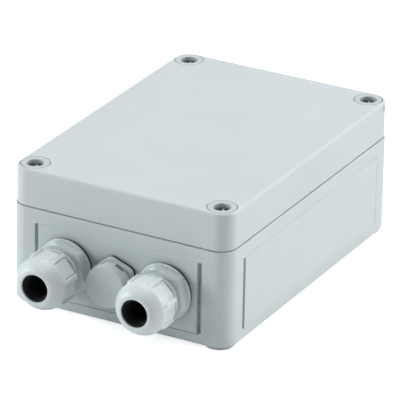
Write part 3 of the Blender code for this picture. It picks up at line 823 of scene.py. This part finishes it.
def make_terminal(name, finish):
    low, high = low_high(name)
    x = (low.x + high.x) / 2
    housing = raw(ease(along_rail(terminal_outline(), low.x, high.x), 0.3, 3), f"{name}_housing")
    carve(housing, brick((x - 1.8, RAIL_Y - CLAMP_Y, 33.3), (x + 1.8, RAIL_Y + CLAMP_Y, 35.3)))
    carve(housing, brick((x - 2.9, RAIL_Y - 3.2, 45.2), (x + 2.9, RAIL_Y + 3.2, 47.5)))
    for end, side in (("front", -1), ("back", 1)):
        y = RAIL_Y + side * CLAMP_Y
        carve(housing, brick((x - 3, y - 3, 25.7), (x + 3, y + 3, 42.0)))
        screw_way = spun([
            (0, 41.0), (1.6, 41.0), (1.6, 43.0), (2.6, 43.0), (2.6, 49.6), (3.1, 50.1), (3.1, 52),
            (0, 52),
        ], SMALL_STEPS)
        carve(housing, at(screw_way, x, y))
        entry = spun([
            (0, 12), (2.4, 12), (2.4, 20.3), (3.1, 21.1), (3.1, 23), (0, 23),
        ], SMALL_STEPS)
        turn = Matrix.Rotation(math.radians(-90 * side), 4, "X")
        place = Matrix.Translation(Vector((x, RAIL_Y, WIRE_Z)) * MM)
        carve(housing, moved(entry, place @ turn))
        make_clamp(name, end, x, y)
    dress(housing, finish, name)
    low, high = low_high(f"{name}_bar")
    bar = ease(brick(low, high), 0.2)
    dress(raw(bar, f"{name}_current_bar"), BRASS, f"{name}_bar")


def make_clamp(name, end, x, y):
    screw = raw(spun([
        (0, 46.8), (1.9, 46.8), (2.2, 46.65), (2.3, 46.4), (2.3, 43.5), (2.1, 43.3), (1.2, 43.3),
        (1.2, 36.3), (0.8, 35.9), (0, 35.9),
    ], SMALL_STEPS), f"{name}_clamp_screw_{end}")
    add_thread(screw, 1.15, 1.3, 36.4, 42.4, CLAMP_PITCH)
    carve(screw, brick((-3, -0.4, 45.5), (3, 0.4, 48)))
    moved_mesh(screw, x, y)
    dress(screw, STEEL, f"{name}_screw_{end}")
    low, high = low_high(f"{name}_cage_{end}")
    cage = raw(ease(brick(low, high), 0.35, 3), f"{name}_clamp_cage_{end}")
    carve(cage, brick((x - 1.9, low.y - 1, 27.6), (x + 1.9, high.y + 1, 36.2)))
    carve(cage, rod(1.6, 35, 39, (x, y), 32))
    dress(cage, STEEL, f"{name}_cage_{end}")


def make_end_pieces():
    low, high = low_high("terminal_end_plate")
    plate = ease(along_rail(terminal_outline(), low.x, high.x), 0.25, 2)
    dress(raw(plate, "row_end_plate"), TERMINAL_GREY, "terminal_end_plate")
    seat = RAIL_HIGH.z + 0.3
    outline = mirrored_outline([
        (17.9, seat), (17.9, 14.4), (15.4, 14.4), (15.4, 12.4), (19.6, 12.4), (21.0, 14.0),
        (21.0, 24.0), (14.0, 31.0), (6.0, 34.0),
    ])
    for side in ("left", "right"):
        low, high = low_high(f"end_stop_{side}")
        stop = raw(ease(along_rail(outline, low.x, high.x), 0.4, 3), f"rail_stop_{side}")
        x = (low.x + high.x) / 2
        well = spun([(0, 30), (2.4, 30), (2.4, 36), (0, 36)], SMALL_STEPS)
        carve(stop, at(well, x, RAIL_Y))
        dress(stop, TERMINAL_GREY, f"end_stop_{side}")


# Camera, floor and light


def make_camera():
    azimuth, elevation = math.radians(VIEW_AZIMUTH), math.radians(VIEW_ELEVATION)
    back = Vector((
        math.sin(azimuth) * math.cos(elevation), -math.cos(azimuth) * math.cos(elevation),
        math.sin(elevation),
    ))
    data = bpy.data.cameras.new("camera")
    data.lens = LENS
    data.sensor_width = FILM_WIDTH
    data.clip_end = 50
    camera = bpy.data.objects.new("camera", data)
    camera.location = (Vector(AIM) + back * VIEW_DISTANCE) * MM
    roll = Quaternion((0, 0, 1), math.radians(VIEW_ROLL))
    camera.rotation_euler = (back.to_track_quat("Z", "Y") @ roll).to_euler()
    bpy.context.scene.collection.objects.link(camera)
    bpy.context.scene.camera = camera


def make_floor():
    """A pale floor that also glows to the camera, so that the shadow on it stays faint."""
    bm = bmesh.new()
    bmesh.ops.create_grid(bm, x_segments=1, y_segments=1, size=FLOOR_HALF)
    floor = raw(at(bm, 0, 0, FOOT_LOW - 0.1), "floor")
    pale = bpy.data.materials.new("pale floor")
    pale.use_nodes = True
    shader = pale.node_tree.nodes["Principled BSDF"]
    shader.inputs["Base Color"].default_value = (0.9, 0.9, 0.9, 1)
    shader.inputs["Roughness"].default_value = 0.9
    shader.inputs["Specular IOR Level"].default_value = 0.1
    shader.inputs["Emission Color"].default_value = (1, 1, 1, 1)
    rays = add(pale.node_tree, "ShaderNodeLightPath")
    glow = calculate(pale.node_tree, "MULTIPLY", rays.outputs["Is Camera Ray"], FLOOR_GLOW)
    pale.node_tree.links.new(glow, shader.inputs["Emission Strength"])
    floor.data.materials.append(pale)


def make_light(name, place, size, power, colour):
    data = bpy.data.lights.new(name, "AREA")
    data.shape = "RECTANGLE"
    data.size, data.size_y = size
    data.energy = power
    data.color = colour
    light = bpy.data.objects.new(name, data)
    light.location = place
    light.rotation_euler = Vector(place).to_track_quat("Z", "Y").to_euler()
    bpy.context.scene.collection.objects.link(light)


def make_studio():
    for light in LIGHTS:
        make_light(*light)
    world = bpy.data.worlds.new("studio")
    world.use_nodes = True
    surround = world.node_tree.nodes["Background"]
    surround.inputs["Color"].default_value = SURROUND_COLOUR
    surround.inputs["Strength"].default_value = SURROUND_STRENGTH
    bpy.context.scene.world = world
    bpy.context.scene.view_settings.view_transform = "Standard"


MOULDED = moulded_surface()
PLATED = plated_surface()
SHELL = plastic("shell grey", (0.60, 0.63, 0.645), (0.42, 0.52), (3200.0, 0.25), 0.03)
SCREW_GREY = plastic("screw grey", (0.56, 0.59, 0.60), (0.36, 0.46), (4500.0, 0.1), 0.03)
GLAND_GREY = plastic("gland grey", (0.67, 0.70, 0.715), (0.26, 0.34), (5000.0, 0.06), 0.03)
VENT_GREY = plastic("vent grey", (0.57, 0.595, 0.60), (0.42, 0.52), (4000.0, 0.2), 0.04)
RUBBER = plastic("black rubber", (0.018, 0.018, 0.02), (0.6, 0.8), (2500.0, 0.25), 0.3)
NATURAL = plastic("natural white", (0.72, 0.70, 0.63), (0.4, 0.5), (4000.0, 0.1), 0.05)
TERMINAL_GREY = plastic("terminal grey", (0.26, 0.27, 0.28), (0.42, 0.55), (3600.0, 0.2), 0.06)
EARTH_GREEN = earth_plastic()
STEEL = metal("zinc plated steel", (0.62, 0.63, 0.65), (0.50, 0.52, 0.55), (0.22, 0.42))
BRASS = metal("plated brass", (0.72, 0.60, 0.36), (0.55, 0.43, 0.22), (0.2, 0.4))

make_camera()
make_base()
make_lid()
make_lid_gasket()
for corner_number, (corner_x, corner_y) in enumerate(corner_places(), 1):
    make_lid_screw(corner_number, corner_x, corner_y)
make_gland("left", -GLAND_X)
make_gland("right", GLAND_X)
make_vent()
make_rail()
for terminal in ("earth_terminal", "terminal_1", "terminal_2", "terminal_3"):
    make_terminal(terminal, EARTH_GREEN if terminal == "earth_terminal" else TERMINAL_GREY)
make_end_pieces()
make_floor()
make_studio()
